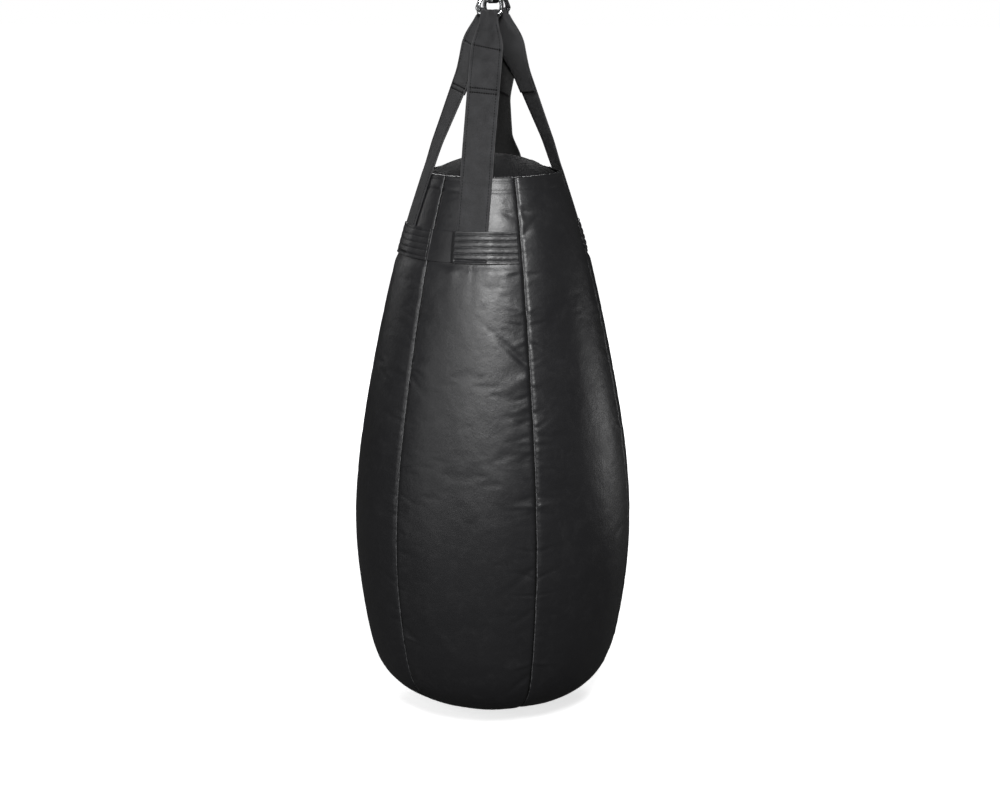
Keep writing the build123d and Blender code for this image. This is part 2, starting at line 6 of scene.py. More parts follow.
import bmesh
import bpy
import numpy as np
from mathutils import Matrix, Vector

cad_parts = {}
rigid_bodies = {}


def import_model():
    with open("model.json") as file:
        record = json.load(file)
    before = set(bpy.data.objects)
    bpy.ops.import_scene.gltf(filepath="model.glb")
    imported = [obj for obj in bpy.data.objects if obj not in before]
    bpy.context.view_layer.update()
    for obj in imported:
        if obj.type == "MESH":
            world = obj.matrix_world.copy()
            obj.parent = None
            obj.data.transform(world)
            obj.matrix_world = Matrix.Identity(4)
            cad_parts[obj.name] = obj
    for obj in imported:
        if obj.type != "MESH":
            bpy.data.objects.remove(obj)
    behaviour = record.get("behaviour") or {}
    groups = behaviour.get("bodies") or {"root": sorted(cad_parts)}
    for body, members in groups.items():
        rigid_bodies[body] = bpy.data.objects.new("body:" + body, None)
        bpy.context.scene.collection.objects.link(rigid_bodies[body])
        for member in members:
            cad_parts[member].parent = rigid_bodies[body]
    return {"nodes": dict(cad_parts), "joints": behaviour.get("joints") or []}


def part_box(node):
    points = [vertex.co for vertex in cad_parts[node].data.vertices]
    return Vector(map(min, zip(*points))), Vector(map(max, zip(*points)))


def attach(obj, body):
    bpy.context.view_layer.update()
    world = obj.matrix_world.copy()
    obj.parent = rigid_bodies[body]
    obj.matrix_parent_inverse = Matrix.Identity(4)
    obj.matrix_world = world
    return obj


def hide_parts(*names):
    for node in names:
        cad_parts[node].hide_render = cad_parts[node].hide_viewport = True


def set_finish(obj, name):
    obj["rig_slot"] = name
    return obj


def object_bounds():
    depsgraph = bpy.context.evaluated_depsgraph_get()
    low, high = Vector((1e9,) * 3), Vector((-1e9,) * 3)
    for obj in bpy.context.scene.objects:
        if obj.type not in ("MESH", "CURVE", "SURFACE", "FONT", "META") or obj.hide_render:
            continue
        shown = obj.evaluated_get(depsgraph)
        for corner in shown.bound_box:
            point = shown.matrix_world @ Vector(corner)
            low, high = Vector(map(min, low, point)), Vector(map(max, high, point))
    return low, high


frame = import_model()
cad_low, cad_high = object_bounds()

# ---- sizes
MM = 0.001
PANELS = ["front", "right_front", "right_rear", "rear", "left_rear", "left_front"]
STRAPS = ["front", "left", "right", "rear"]
PANEL_ANGLE = math.radians(60)
PATCH_R = 60 * MM
CELLS_ACROSS = 26  # simulated cells across one panel
CELLS_DOWN = 150  # and from the rim to the patch
FINER = 3  # each simulated cell is split this many times
SKIN_T = 1.8 * MM
BULGE_CAP = 5 * MM  # the furthest the filling may push a point of the cover
CLOTH_STEPS = 20
FINE_WRINKLES = 0.3  # share of the simulation's small folds that the thick hide keeps
STRAP_W = 50 * MM
STRAP_T = 2.6 * MM
LOOP_W = 27 * MM  # width the webbing is gathered to in its ring
TAIL = 130 * MM  # doubled end of the webbing below its ring
EARLY_TURN = 0.3  # share of a strap's twist spread evenly over its free run
LATE_TURN_FROM = 0.6  # the rest comes above this share of the run
REAR_LEAN = math.radians(-50)  # the slack rear strap leans on edge half way up
REAR_LEAN_FULL = 0.25  # share of the run where that lean is full
REAR_LEAN_EASES = 0.45  # share where it starts to ease off
REAR_LEAN_OVER = 0.3  # and the share it takes to do so
GATHER_FROM = 0.78  # share of the run where the webbing starts to narrow
LOOP_FROM = 0.8  # share where its two layers start to part round the bar
TURN_IN_OVER = 0.2  # share of the run that either change takes
HUG_SHARE = 0.22  # share of the run that still curves with the cover
EDGE_INSET = 4.5 * MM  # the stitch lines' distance from the webbing's edges
EDGE_PITCH = 4.6 * MM  # length of one stitch and its gap along those lines
ROW_PITCH = 3.6 * MM  # and along the cross rows
BAND_PITCH = 4.4 * MM  # and along the bands and the hem
STITCH_DEPTH = 0.45 * MM  # how far the stitch lines lie under the webbing's face
HEM_RUN = 6 * MM  # the hem's stitch line under the rim
BAND_TOP, BAND_BOTTOM = 80 * MM, 127 * MM
BAND_ROWS = 5
ROW_HEIGHT = (BAND_BOTTOM - BAND_TOP) / BAND_ROWS


# ---- reading the frame
def node_points(name):
    mesh = frame["nodes"][name].data
    co = np.zeros(len(mesh.vertices) * 3)
    mesh.vertices.foreach_get("co", co)
    return co.reshape(-1, 3)


def measure_outline():
    """Outer radius and height along the cover, from the rim to the lowest point."""
    low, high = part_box("panel_front")
    middle = (low.z + high.z) / 2
    found = []
    for name in ["panel_" + p for p in PANELS] + ["bottom_patch"]:
        mesh = frame["nodes"][name].data
        for face in mesh.polygons:
            away = (face.center - Vector((0, 0, middle))).normalized()
            if face.normal.dot(away) < 0.5 or face.normal.z > 0.95:
                continue
            for i in face.vertices:
                x, y, z = mesh.vertices[i].co
                found.append((math.atan2(math.hypot(x, y), middle - z), math.hypot(x, y), z))
    found = np.array(sorted(found, reverse=True))
    found[-1, 1] = 0
    turn = np.linspace(found[0, 0], 0, 1600)
    r = np.interp(-turn, -found[:, 0], found[:, 1])
    z = np.interp(-turn, -found[:, 0], found[:, 2])
    length = np.concatenate([[0], np.cumsum(np.hypot(np.diff(r), np.diff(z)))])
    even = np.linspace(0, length[-1], 1200)
    r, z = np.interp(even, length, r), np.interp(even, length, z)
    kernel = np.exp(-0.5 * (np.arange(-24, 25) / 9) ** 2)
    kernel /= kernel.sum()
    padded = [np.pad(values, 24, mode="reflect", reflect_type="odd") for values in (r, z)]
    return even, *(np.convolve(values, kernel, "valid") for values in padded)


RUN, RUN_R, RUN_Z = measure_outline()
RIM_Z = RUN_Z[0]
RUN_NR = -np.gradient(RUN_Z, RUN)
RUN_NZ = np.gradient(RUN_R, RUN)
PATCH_RUN = np.interp(-PATCH_R, -RUN_R[RUN_R.argmax():], RUN[RUN_R.argmax():])


def run_at_depth(depth):
    return np.interp(depth, RIM_Z - RUN_Z, RUN)


def depth_at(run):
    return RIM_Z - np.interp(run, RUN, RUN_Z)


def radius_at(run):
    return np.interp(run, RUN, RUN_R)


def turn_between(azimuth, other):
    """The signed angle from other to azimuth, the short way round."""
    return np.angle(np.exp(1j * (azimuth - other)))


def on_cover(azimuth, run, lift=0.0):
    """Points on the cover's outline surface, lifted along its normal."""
    r = np.interp(run, RUN, RUN_R) + lift * np.interp(run, RUN, RUN_NR)
    z = np.interp(run, RUN, RUN_Z) + lift * np.interp(run, RUN, RUN_NZ)
    azimuth, r, z = np.broadcast_arrays(azimuth, r, z)
    return np.stack([np.sin(azimuth) * r, -np.cos(azimuth) * r, z], axis=-1)


def node_azimuth(name):
    x, y = node_points(name)[:, :2].mean(0)
    return math.atan2(x, -y)


def joint(name):
    return next(j for j in frame["joints"] if j["name"] == name)


def fix_to_bag(piece, slot, replaces=None, finish=None):
    """The piece moves with the bag, and may stand for a CAD node."""
    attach(piece, "bag")
    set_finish(piece, slot)
    if replaces:
        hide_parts(replaces)
    if finish:
        piece["finish"] = finish


# ---- mesh helpers
def add_object(name, data):
    obj = bpy.data.objects.new(name, data)
    bpy.context.scene.collection.objects.link(obj)
    return obj


def mesh_object(name, points, faces, smooth=True, closed=False):
    """A new mesh in the scene. A closed one gets its faces turned outwards."""
    mesh = bpy.data.meshes.new(name)
    mesh.from_pydata([tuple(p) for p in points], [], faces)
    if closed:
        shell = bmesh.new()
        shell.from_mesh(mesh)
        bmesh.ops.recalc_face_normals(shell, faces=shell.faces)
        shell.to_mesh(mesh)
        shell.free()
    mesh.update()
    obj = add_object(name, mesh)
    if smooth:
        mesh.polygons.foreach_set("use_smooth", [True] * len(mesh.polygons))
    return obj


def grid_faces(rows, columns, offset=0, closed=False):
    faces = []
    across = columns if closed else columns - 1
    for i in range(rows - 1):
        for j in range(across):
            k = (j + 1) % columns
            a, b = offset + i * columns + j, offset + i * columns + k
            faces.append((a, a + columns, b + columns, b))
    return faces


def sheet(name, grid, thickness):
    """An open grid given a thickness towards its inner side."""
    rows, columns = grid.shape[:2]
    obj = mesh_object(name, grid.reshape(-1, 3), grid_faces(rows, columns))
    solid = obj.modifiers.new("thickness", "SOLIDIFY")
    solid.thickness = thickness
    solid.offset = -1
    return obj


def tube(name, rings, ends=True):
    """A skin over closed rings of points, shape (rings, points, 3)."""
    count, around = rings.shape[:2]
    faces = grid_faces(count, around, closed=True)
    if ends:
        faces.append(tuple(range(around)))
        faces.append(tuple(range(count * around - 1, (count - 1) * around - 1, -1)))
    return mesh_object(name, rings.reshape(-1, 3), faces, closed=True)


def unit(v):
    return v / np.maximum(np.linalg.norm(v, axis=-1, keepdims=True), 1e-12)


def grid_normals(grid):
    down = np.gradient(grid, axis=0)
    across = np.gradient(grid, axis=1)
    return unit(np.cross(down, across))


def finer(grid, axis, times):
    """Catmull-Rom points between the points of a grid, along one axis."""
    grid = np.moveaxis(grid, axis, 0)
    before = np.concatenate([2 * grid[:1] - grid[1:2], grid[:-1]])
    after = np.concatenate([grid[1:], 2 * grid[-1:] - grid[-2:-1]])
    p0, p1, p2, p3 = before[:-1], grid[:-1], grid[1:], after[1:]
    steps = []
    for k in range(times):
        t = k / times
        steps.append(0.5 * (2 * p1 + (p2 - p0) * t + (2 * p0 - 5 * p1 + 4 * p2 - p3) * t ** 2
                            + (3 * p1 - p0 - 3 * p2 + p3) * t ** 3))
    out = np.stack(steps, axis=1).reshape(-1, *grid.shape[1:])
    return np.moveaxis(np.concatenate([out, grid[-1:]]), 0, axis)


def waves(x, y, seed, count, low, high):
    """Smooth noise from a few seeded waves with between low and high turns per unit."""
    rng = np.random.RandomState(seed)
    total = np.zeros(np.broadcast(x, y).shape)
    for _ in range(count):
        rate = 2 * math.pi * rng.uniform(low, high)
        heading = rng.uniform(0, 2 * math.pi)
        phase = rng.uniform(0, 2 * math.pi)
        total += np.cos(rate * (x * math.cos(heading) + y * math.sin(heading)) + phase)
    return total / math.sqrt(count)


def circle(count):
    return np.linspace(0, 2 * math.pi, count, endpoint=False)


def bump(x, width):
    return np.exp(-(x / width) ** 2)


def ease(x):
    x = np.clip(x, 0, 1)
    return x * x * (3 - 2 * x)


# ---- cover simulation
COVER_RUNS = np.linspace(0, PATCH_RUN, CELLS_DOWN + 1)
AROUND = CELLS_ACROSS * len(PANELS)
COVER_AZIMUTHS = -PANEL_ANGLE / 2 + np.arange(AROUND) * PANEL_ANGLE / CELLS_ACROSS
STRAP_AZIMUTHS = {name: node_azimuth("band_" + name) for name in STRAPS}


def held_points():
    """1 where stitching holds the cover to its outline, 0 where the filling may push it."""
    held = np.zeros((CELLS_DOWN + 1, AROUND))
    held[:3] = 1
    held[-2:] = 1
    held[:, ::CELLS_ACROSS] = 1
    depth = depth_at(COVER_RUNS)
    r = radius_at(COVER_RUNS)
    for azimuth in STRAP_AZIMUTHS.values():
        apart = turn_between(COVER_AZIMUTHS, azimuth)
        under_strap = np.abs(apart)[None, :] * r[:, None] < STRAP_W / 2 + 6 * MM
        above = depth[:, None] < BAND_BOTTOM + 4 * MM
        in_band = (depth[:, None] > BAND_TOP - 4 * MM) & above
        held[under_strap & above] = 1
        held[in_band & (np.abs(apart)[None, :] < PANEL_ANGLE / 2)] = 1
    return held


def settle_cover():
    """The cover swollen by its filling, by cloth simulation, as a grid of points."""
    start = on_cover(COVER_AZIMUTHS[None, :], COVER_RUNS[:, None])
    faces = grid_faces(CELLS_DOWN + 1, AROUND, closed=True)
    obj = mesh_object("cover_cloth", start.reshape(-1, 3), faces)
    pins = obj.vertex_groups.new(name="held")
    held = held_points().ravel()
    pins.add([int(i) for i in np.nonzero(held)[0]], 1.0, "REPLACE")
    cloth = obj.modifiers.new("cloth", "CLOTH")
    settings = cloth.settings
    settings.quality = 6
    settings.mass = 0.35
    settings.tension_stiffness = 20
    settings.compression_stiffness = 20
    settings.shear_stiffness = 8
    settings.bending_stiffness = 3
    settings.air_damping = 2
    settings.use_pressure = True
    settings.uniform_pressure_force = 6
    settings.shrink_min = -0.003
    settings.vertex_group_mass = "held"
    settings.effector_weights.gravity = 0
    cloth.collision_settings.use_collision = False
    scene = bpy.context.scene
    for step in range(1, CLOTH_STEPS + 1):
        scene.frame_set(step)
    shown = obj.evaluated_get(bpy.context.evaluated_depsgraph_get())
    co = np.zeros(len(shown.data.vertices) * 3)
    shown.data.vertices.foreach_get("co", co)
    scene.frame_set(1)
    bpy.data.objects.remove(obj)
    out = on_cover(COVER_AZIMUTHS[None, :], COVER_RUNS[:, None], 1.0) - start
    rise = np.sum((co.reshape(start.shape) - start) * out, axis=-1, keepdims=True)
    rise = np.maximum(rise, -SKIN_T / 4)
    broad = blurred(rise, 5)
    rise = broad + FINE_WRINKLES * (rise - broad)
    return start + out * BULGE_CAP * np.tanh(rise / BULGE_CAP)


def blurred(field, cells):
    """A field on the cover smoothed down the rows and round the columns."""
    kernel = bump(np.arange(-2 * cells, 2 * cells + 1), cells)
    kernel /= kernel.sum()
    padded = np.pad(field, ((2 * cells, 2 * cells), (0, 0), (0, 0)), mode="edge")
    down = sum(w * padded[k:k + len(field)] for k, w in enumerate(kernel))
    return sum(w * np.roll(down, k - cells, axis=1)
               for k, w in enumerate(kernel[cells:-cells] / kernel[cells:-cells].sum()))


# ---- cover panels
def puckers(away, run, seed, count, size):
    """Small slanted gathers that start at a seam. away is the distance from it."""
    rng = np.random.RandomState(seed)
    total = np.zeros(away.shape)
    for _ in range(count):
        at = rng.uniform(0.03, 0.97) * PATCH_RUN
        slant = rng.uniform(-0.4, 0.6)
        width = rng.uniform(2.0, 4.6) * MM
        length = rng.uniform(12, 34) * MM
        height = size * rng.uniform(0.3, 1.0) * rng.choice([-1, -1, 1])
        near = 1 - np.exp(-away / (3 * MM))
        total += height * near * bump(away, length) * bump(run - at + slant * away, width)
    return total


# panel, side (-1 left edge, 1 right edge), metres below the rim, length and width in
# millimetres, slant, height in millimetres (below zero is a hollow)
DENTS = [
    ("front", 1, 0.281, 42, 8, -0.95, -3.0), ("front", 1, 0.294, 26, 8, 0.35, 2.6),
    ("front", 1, 0.322, 22, 4, 0.3, -1.6), ("front", 1, 0.337, 24, 4, 0.3, 1.1),
    ("front", 1, 0.358, 26, 5, 0.3, -1.4), ("front", 1, 0.410, 24, 5, 0.4, -1.1),
    ("front", 1, 0.060, 26, 6, -0.4, -1.4), ("right_front", -1, 0.085, 26, 6, -0.7, -1.4),
    ("front", 1, 0.585, 30, 7, 0.8, -1.3), ("front", 1, 0.655, 26, 6, 0.7, -1.1),
    ("front", 1, 0.770, 34, 8, 0.9, -1.8), ("front", -1, 0.300, 24, 7, 0.7, -1.2),
    ("front", -1, 0.520, 28, 8, -0.7, -1.3), ("front", -1, 0.700, 30, 8, 0.8, -1.4),
    ("right_front", -1, 0.050, 34, 9, 0.3, -2.2), ("right_front", -1, 0.240, 30, 8, 0.8, -1.8),
    ("right_front", -1, 0.600, 36, 9, 0.8, -1.6), ("left_front", 1, 0.180, 26, 8, 0.6, -1.4),
    ("rear", -1, 0.300, 36, 9, 0.8, -1.8), ("rear", 1, 0.640, 34, 9, -0.8, -1.8),
    ("right_rear", 1, 0.450, 34, 9, 0.8, -1.7), ("left_rear", -1, 0.560, 34, 9, -0.8, -1.7),
    ("left_front", 1, 0.030, 20, 5, -0.4, -1.9), ("left_front", 1, 0.019, 16, 4, -0.4, 1.2),
]


def cover_relief(name, index, across, run, azimuth):
    """How far the panel's surface stands above the settled cover."""
    r = radius_at(run)
    depth = depth_at(run)
    swells = 0.45 * MM * waves(azimuth * 0.35, run * 0.5, 11 + index, 14, 3, 9)
    ripples = 0.08 * MM * waves(azimuth * 0.2, run, 31 + index, 26, 18, 42)
    crown = 0.9 * MM * (1 - across ** 2)
    lift = swells + ripples + crown
    calm = np.zeros(across.shape)  # 1 where a band holds the cover flat
    for strap in STRAPS:
        apart = np.abs(turn_between(azimuth, STRAP_AZIMUTHS[strap]))
        covered = ease(1 - (depth - BAND_BOTTOM) / (16 * MM)) * (apart < PANEL_ANGLE / 2)
        calm = np.maximum(calm, covered)
        # soft upright folds that hang from the band's lower edge
        folds = np.cos(apart * r / (5.2 * MM) + 2 * waves(azimuth, run * 0, 71, 6, 1, 4))
        below = np.clip(depth - BAND_BOTTOM, 0, 1)
        lift += 0.85 * MM * folds * (depth > BAND_BOTTOM) * np.exp(-below / (26 * MM)) * (
            1 - np.exp(-below / (5 * MM))) * bump(apart, math.radians(19))
    shoulder = 1.5 * MM * (1 - calm)  # the padding, which the seams pull in
    lift = lift * (1 - 0.9 * calm) + shoulder
    for side in (-1, 1):
        away = (1 - side * across) * PANEL_ANGLE / 2 * r
        stitch = 0.5 + 0.5 * np.cos(run / (1.4 * MM) + 3 * np.sin(run / (23 * MM)))
        lift -= (shoulder + 1.6 * MM) * bump(away, 2.3 * MM)
        lift -= 0.4 * MM * stitch * bump(away - 3 * MM, 2.5 * MM)
        lift += (1 - 0.7 * calm) * puckers(away, run, 101 + 2 * index + side, 46, 1.15 * MM)
        for panel, edge, at, length, width, slant, height in DENTS:
            if panel == name and edge == side:
                near = 1 - np.exp(-away / (4 * MM))
                line = depth - at - slant * away
                lift += height * MM * near * bump(away, length * MM) * bump(line, width * MM)
    hem_line = 0.6 * MM * bump(depth - HEM_RUN, 1.3 * MM)
    hem_edge = 0.8 * MM * bump(depth - 21 * MM, 2.4 * MM)
    lift -= hem_line + hem_edge
    gather = np.cos(azimuth * 40 + 3 * waves(azimuth, run * 0, 91, 5, 1, 4))
    lift += 0.7 * MM * gather * bump(run - PATCH_RUN, 60 * MM)
    return lift


def cover_panel(name, index, cover):
    columns = (index * CELLS_ACROSS + np.arange(CELLS_ACROSS + 1)) % AROUND
    grid = finer(finer(cover[:, columns], 0, FINER), 1, FINER)
    rows, wide = grid.shape[:2]
    across, run = np.meshgrid(np.linspace(-1, 1, wide), np.linspace(0, PATCH_RUN, rows))
    azimuth = (index + across / 2) * PANEL_ANGLE
    lift = cover_relief(name, index, across, run, azimuth)
    grid = grid + grid_normals(grid) * lift[..., None]
    fix_to_bag(sheet("skin_" + name, grid, SKIN_T), "cover_skin", "panel_" + name)


def round_tube(name, path, radius, points=10):
    """A round cord along a path; radius may vary along it."""
    along = unit(np.gradient(path, axis=0))
    guide = np.where(np.abs(along[:, 2:3]) > 0.9, [[1.0, 0, 0]], [[0, 0, 1.0]])
    side = unit(np.cross(along, guide))
    up = np.cross(side, along)
    turn = circle(points)
    radius = np.broadcast_to(radius, (len(path),))[:, None, None]
    rings = path[:, None] + radius * (np.cos(turn)[None, :, None] * side[:, None]
                                      + np.sin(turn)[None, :, None] * up[:, None])
    return tube(name, rings)


def seam_welts():
    """The folded lip of each seam, coloured with a painted highlight, and beside it a dark cord in
    the thread's colour that stands for the shade in the seam's groove: a painted shadow.
    """
    run = np.linspace(0.5 * MM, PATCH_RUN + 1 * MM, 700)
    r = radius_at(run)
    for i in range(len(PANELS)):
        lap = 1 if i < 3 else -1  # the lip turns away from the front panel
        wander = 0.35 * MM * waves(run, run * 0, 200 + i, 8, 6, 40)
        azimuth = (i + 0.5) * PANEL_ANGLE + (lap * 1.1 * MM + wander) / r
        lift = -0.6 * MM + 0.25 * MM * waves(run, run * 0, 220 + i, 10, 30, 90)
        path = on_cover(azimuth, run, lift)
        radius = 0.95 * MM * (1 + 0.12 * waves(run, run * 0, 240 + i, 8, 40, 110))
        welt = round_tube(f"welt_{i + 1}", path, radius)
        # the lip's pale colour is a painted highlight
        fix_to_bag(welt, "cover_skin", None if i else "seam_welts", "painted_highlight_edge")
        # a dark cord in the groove beside the lip: painted shadow for the seam's shade
        beside = (i + 0.5) * PANEL_ANGLE - lap * 1.0 * MM / r
        cord = round_tube(f"seam_shadow_cord_{i + 1}", on_cover(beside, run, -1.0 * MM), 1.1 * MM)
        fix_to_bag(cord, "cover_skin", finish="thread")


def bottom_patch():
    """Round patch under the bag, stitched over the panels' ends."""
    run = np.concatenate([np.linspace(PATCH_RUN - 7 * MM, PATCH_RUN, 10),
                          np.linspace(PATCH_RUN, RUN[-1] - 0.5 * MM, 30)[1:]])
    azimuth = circle(180)
    edge = (run[:, None] - run[0]) / MM
    lift = 1.7 * MM * ease(edge / 1.2) - 0.6 * MM * bump(edge - 4, 0.8)
    lift = lift + 0.25 * MM * waves(azimuth[None, :] * 0.06, run[:, None], 17, 20, 10, 40)
    grid = on_cover(azimuth[None, :], run[:, None], lift)
    fix_to_bag(tube("patch_bottom", grid[::-1]), "cover_skin", "bottom_patch")


def rim_rise(azimuth):
    """How the rim waves up and down, turned in deeper beside the left strap."""
    wave = 0.8 * MM * waves(np.cos(azimuth), np.sin(azimuth), 5, 8, 0.3, 1.2)
    turned_in = turn_between(azimuth, -math.radians(46))
    return wave - 2.4 * MM * bump(turned_in, math.radians(36)) ** 2


def rim_lip():
    """The turned edge of the cover all round the top."""
    azimuth = circle(540)
    centre = on_cover(azimuth, 0.0, -2.4 * MM)
    centre[:, 2] += -0.6 * MM + rim_rise(azimuth)
    out = unit(centre * [1, 1, 0])
    turn = circle(14)
    thick = 1 + 0.08 * waves(azimuth, azimuth * 0, 6, 9, 3, 12)
    ring = centre[:, None] + thick[:, None, None] * (
        2.7 * MM * np.cos(turn)[None, :, None] * out[:, None]
        + 2.1 * MM * np.sin(turn)[None, :, None] * np.array([0, 0, 1.0]))
    rings = np.concatenate([ring, ring[:1]])
    fix_to_bag(tube("rim_lip", rings, ends=False), "cover_skin")


# ---- straps
FREE_LIFT = STRAP_T / 2 + 0.4 * MM
LOOP_R = 3.0 * MM + STRAP_T / 2 + 0.35 * MM  # the ring's rod, half the webbing, a gap
LAYER_GAP = 0.15 * MM  # between the strap and its doubled end
ROW_GROOVE = 1.5 * MM
# cross-stitch rows: distance below the ring's bar, and slant across the webbing
CROSS_ROWS = [(54 * MM, 0.18), (TAIL - 11 * MM, 0.07), (TAIL - 4 * MM, 0.07)]


def part_at_loop(share):
    """How far a layer swings out to pass round the ring's bar."""
    return LOOP_R * ease((share - LOOP_FROM) / TURN_IN_OVER)


class Webbing:
    """Where one strap runs: over the cover, up to its ring, round the bar and back down."""

    def __init__(self, name):
        self.name = name
        self.azimuth = STRAP_AZIMUTHS[name]
        ring = joint(f"ring_{name}_tilt")
        self.bar = np.array(ring["pos_m"], float)
        self.base = on_cover(self.azimuth, 0.0, FREE_LIFT)
        self.length = np.linalg.norm(self.bar - self.base)
        self.along = unit(self.bar - self.base)
        tangent = np.array([math.cos(self.azimuth), math.sin(self.azimuth), 0])
        self.first = unit(tangent - self.along * tangent.dot(self.along))
        self.side = np.cross(self.along, self.first)
        # how far the webbing turns on its way up, to lie along the ring's bar
        bar = np.array(ring["axis"], float)
        turn = math.atan2(bar.dot(self.side), bar.dot(self.first))
        self.turn = (turn + math.pi / 2) % math.pi - math.pi / 2

    def twist(self, share):
        late = ease((share - LATE_TURN_FROM) / (1 - LATE_TURN_FROM))
        angle = self.turn * (EARLY_TURN * share + (1 - EARLY_TURN) * late)
        if self.name == "rear":
            leaning = ease(share / REAR_LEAN_FULL)
            easing = ease((share - REAR_LEAN_EASES) / REAR_LEAN_OVER)
            angle = angle + REAR_LEAN * leaning * (1 - easing)
        return angle

    def free(self, share, lateral, lift):
        """A point on the free run: share 0 is the rim, 1 is the ring's bar."""
        share, lateral, lift = np.broadcast_arrays(share, lateral, lift)
        angle = self.twist(share)
        across = (self.first * np.cos(angle)[..., None] + self.side * np.sin(angle)[..., None])
        normal = np.cross(across, self.along)
        gather = ease((share - GATHER_FROM) / TURN_IN_OVER)
        wide = 1 + (LOOP_W / STRAP_W - 1) * gather
        place = 2 * lateral / STRAP_W
        hug = (1 - ease(share / HUG_SHARE)) * -lateral ** 2 / (2 * RUN_R[0])
        crumple = 2.4 * MM * gather * (0.5 - 0.5 * np.cos(2 * math.pi * place))
        slack = 0.8 * MM * np.sin(math.pi * share) * np.sin(5 * share + 2 * place)
        reach = lift + hug - crumple * 0.6 + slack
        centre = self.base + (self.bar - self.base) * share[..., None]
        return centre + across * (lateral * wide)[..., None] + normal * reach[..., None]

    def row_share(self, row, lateral):
        """Share of the free run where a slanted cross-stitch row passes."""
        from_ring, slant = row
        return 1 - (from_ring + slant * lateral) / self.length

    def row_groove(self, share, lateral):
        """Depth of the grooves that the cross-stitch rows pull into the webbing."""
        total = 0.0
        for row in CROSS_ROWS:
            total = total + bump((share - self.row_share(row, lateral)) * self.length, 1.6 * MM)
        return ROW_GROOVE * total

    def foot(self, run, lateral, lift):
        """A point on the part that lies on the cover."""
        return on_cover(self.azimuth + lateral / radius_at(run), run, FREE_LIFT + lift)

    def loop(self, turn, lateral, lift):
        """A point on the fold over the ring's bar, from the outer side (0) to the inner (pi)."""
        top = self.free(np.array(1.0), lateral, 0.0)
        normal = self.free(np.array(1.0), 0.0, 1.0) - self.free(np.array(1.0), 0.0, 0.0)
        reach = (LOOP_R + lift)[..., None]
        return top + reach * (np.cos(turn)[..., None] * normal + np.sin(turn)[..., None] * self.along)


def strap_stations(web):
    """Functions that place a point (lateral, lift) at each station along the whole strap."""
    stations = []
    for run in np.linspace(run_at_depth(BAND_BOTTOM - 3 * MM), 0, 42)[:-1]:
        stations.append(lambda x, h, run=run: web.foot(run, x, h))
    tail_share = 1 - TAIL / web.length
    for share in np.linspace(0, 1, 260)[:-1]:
        stations.append(lambda x, h, s=share: web.free(
            s, x, h - (h > 0) * web.row_groove(s, x) + part_at_loop(s)))
    for turn in np.linspace(0, math.pi, 15):
        stations.append(lambda x, h, turn=turn: web.loop(np.full(x.shape, turn), x, h))
    for share in np.linspace(1, tail_share, 48)[1:]:
        stations.append(lambda x, h, s=share: web.free(
            s, x, -h + part_at_loop(s) - (STRAP_T + LAYER_GAP)
            - (2 * LOOP_R - STRAP_T) * ease((s - LOOP_FROM) / TURN_IN_OVER)))
    return stations


def strap(name):
    web = Webbing(name)
    wide = np.linspace(-1, 1, 25)
    edge = np.sqrt(np.clip(1 - np.abs(wide) ** 14, 0, 1))
    lateral = np.concatenate([wide, wide[::-1]]) * STRAP_W / 2
    height = np.concatenate([edge, -edge[::-1]]) * STRAP_T / 2
    groove = 0.5 * MM * bump(np.abs(lateral) - (STRAP_W / 2 - EDGE_INSET), 1.1 * MM)
    height = height - np.sign(height) * groove
    rings = np.stack([place(lateral, height) for place in strap_stations(web)])
    # the rear strap gets a near-black copy of the webbing: painted shade for the shadow it hangs in
    fix_to_bag(tube("webbing_" + name, rings), "webbing", "strap_" + name,
               "fresh_webbing" if name == "rear" else None)


def selvedges(name):
    """Pale outer edges of the free run: rubbed webbing, and a painted highlight along each edge."""
    web = Webbing(name)
    share = np.linspace(0, 0.97, 220)
    swing = part_at_loop(share)
    for side, hand in ((-1, "a"), (1, "b")):
        path = web.free(share, side * (STRAP_W / 2 - 0.2 * MM), swing)
        cord = round_tube(f"selvedge_{name}_{hand}", path, 0.95 * MM, points=8)
        fix_to_bag(cord, "webbing", finish="rubbed_webbing")


# ---- stitching
def threads(name, rows, radius):
    """Many short stitches as one mesh, each sunk at both ends. A row is (starts, ends, out)."""
    starts, ends, out = (np.concatenate(part).astype(float) for part in zip(*rows))
    along = unit(ends - starts)
    side = np.cross(along, out)
    share = np.array([0, 0.12, 0.5, 0.88, 1.0])
    swell = np.array([0.35, 0.85, 1.0, 0.85, 0.35])
    arch = np.array([-0.8, 0.1, 0.5, 0.1, -0.8])
    turn = circle(6)
    centre = starts[:, None] + (ends - starts)[:, None] * share[None, :, None]
    centre = centre + out[:, None] * (arch * radius)[None, :, None]
    ring = (np.cos(turn)[None, None, :, None] * side[:, None, None]
            + np.sin(turn)[None, None, :, None] * out[:, None, None])
    points = centre[:, :, None] + ring * (swell * radius)[None, :, None, None]
    faces = []
    rings, around = len(share), len(turn)
    for k in range(len(starts)):
        first = k * rings * around
        last = first + rings * around - 1
        faces += grid_faces(rings, around, first, closed=True)
        faces.append(tuple(range(first, first + around)))
        faces.append(tuple(range(last, last - around, -1)))
    return mesh_object(name, points.reshape(-1, 3), faces, closed=True)


def row_of_threads(path, out, pitch, fill=0.72):
    """Start, end and outward direction of stitches along a path."""
    length = np.concatenate([[0], np.cumsum(np.linalg.norm(np.diff(path, axis=0), axis=1))])
    count = max(1, int(length[-1] / pitch))
    first = (np.arange(count) + (1 - fill) / 2) * length[-1] / count
    last = first + fill * length[-1] / count

    def at(where, values):
        return np.stack([np.interp(where, length, values[:, k]) for k in range(3)], axis=1)
    return at(first, path), at(last, path), unit(at((first + last) / 2, out))


